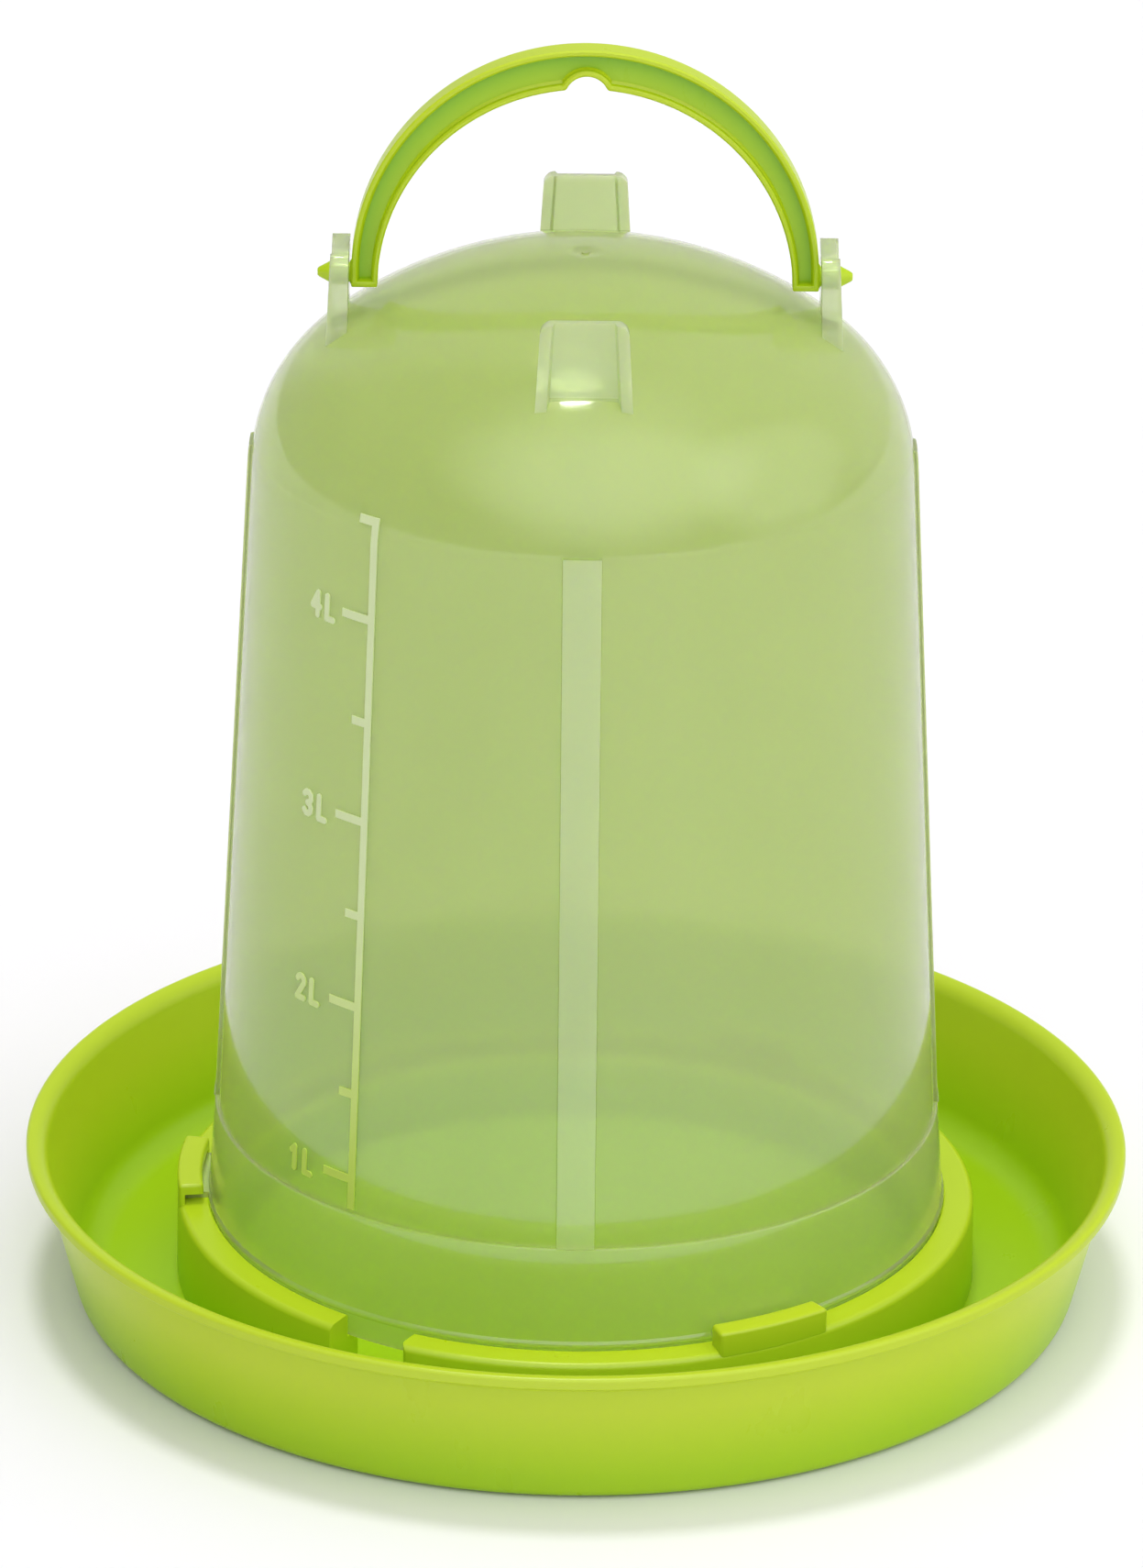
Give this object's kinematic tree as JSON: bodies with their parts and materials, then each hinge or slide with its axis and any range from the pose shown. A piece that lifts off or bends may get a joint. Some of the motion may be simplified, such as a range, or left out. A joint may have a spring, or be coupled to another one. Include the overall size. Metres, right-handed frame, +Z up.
{
  "type": "poultry waterer fount",
  "caption": "Siphon drinker for poultry: translucent bell tank with a litre scale, locked into a round drinking tray, with a swinging bail handle.",
  "frame": {"origin": "centre of the tray's underside, where it stands on the ground", "axes": "+Z up, front of the drinker towards -Y, +X to the right of someone facing the front; the bail's pivot axis is parallel to X"},
  "size_m": [0.272, 0.272, 0.3162],
  "materials": {
    "tray_green": "glossy opaque lime green polypropylene",
    "bail_green": "glossy opaque lime green polypropylene",
    "tank_milky_green": "glossy translucent milky green polypropylene",
    "scale_frost": "frosted raised lettering in the tank's own plastic"
  },
  "bodies": {
    "tray": {"tray_floor": "tray_green", "tray_wall": "tray_green", "tray_lip": "tray_green", "tray_collar": "tray_green", "bayonet_catch_left": "tray_green", "bayonet_catch_front": "tray_green", "bayonet_catch_back": "tray_green"},
    "tank": {"tank_skirt": "tank_milky_green", "tank_wall": "tank_milky_green", "tank_dome": "tank_milky_green", "tank_rib_front": "tank_milky_green", "tank_rib_back": "tank_milky_green", "tank_rib_left": "tank_milky_green", "tank_rib_right": "tank_milky_green", "tank_foot_front": "tank_milky_green", "tank_foot_back": "tank_milky_green", "tank_ear_left": "tank_milky_green", "tank_ear_right": "tank_milky_green", "scale_graduations": "scale_frost", "scale_numerals": "scale_frost", "bayonet_lug_left": "tank_milky_green", "bayonet_lug_front": "tank_milky_green", "bayonet_lug_back": "tank_milky_green"},
    "bail": {"bail_outer_flange": "bail_green", "bail_inner_flange": "bail_green", "bail_web": "bail_green", "bail_pin_left": "bail_green", "bail_pin_right": "bail_green"}
  },
  "joints": [
    {"name": "tank_twist", "type": "hinge", "parent": "tray", "child": "tank", "pos_m": [0, 0, 0.0225], "axis": [0, 0, 1], "range_deg": [0, 20]},
    {"name": "bail_swing", "type": "hinge", "parent": "tank", "child": "bail", "pos_m": [0, 0, 0.2604], "axis": [1, 0, 0], "range_deg": [-78, 78]}
  ]
}
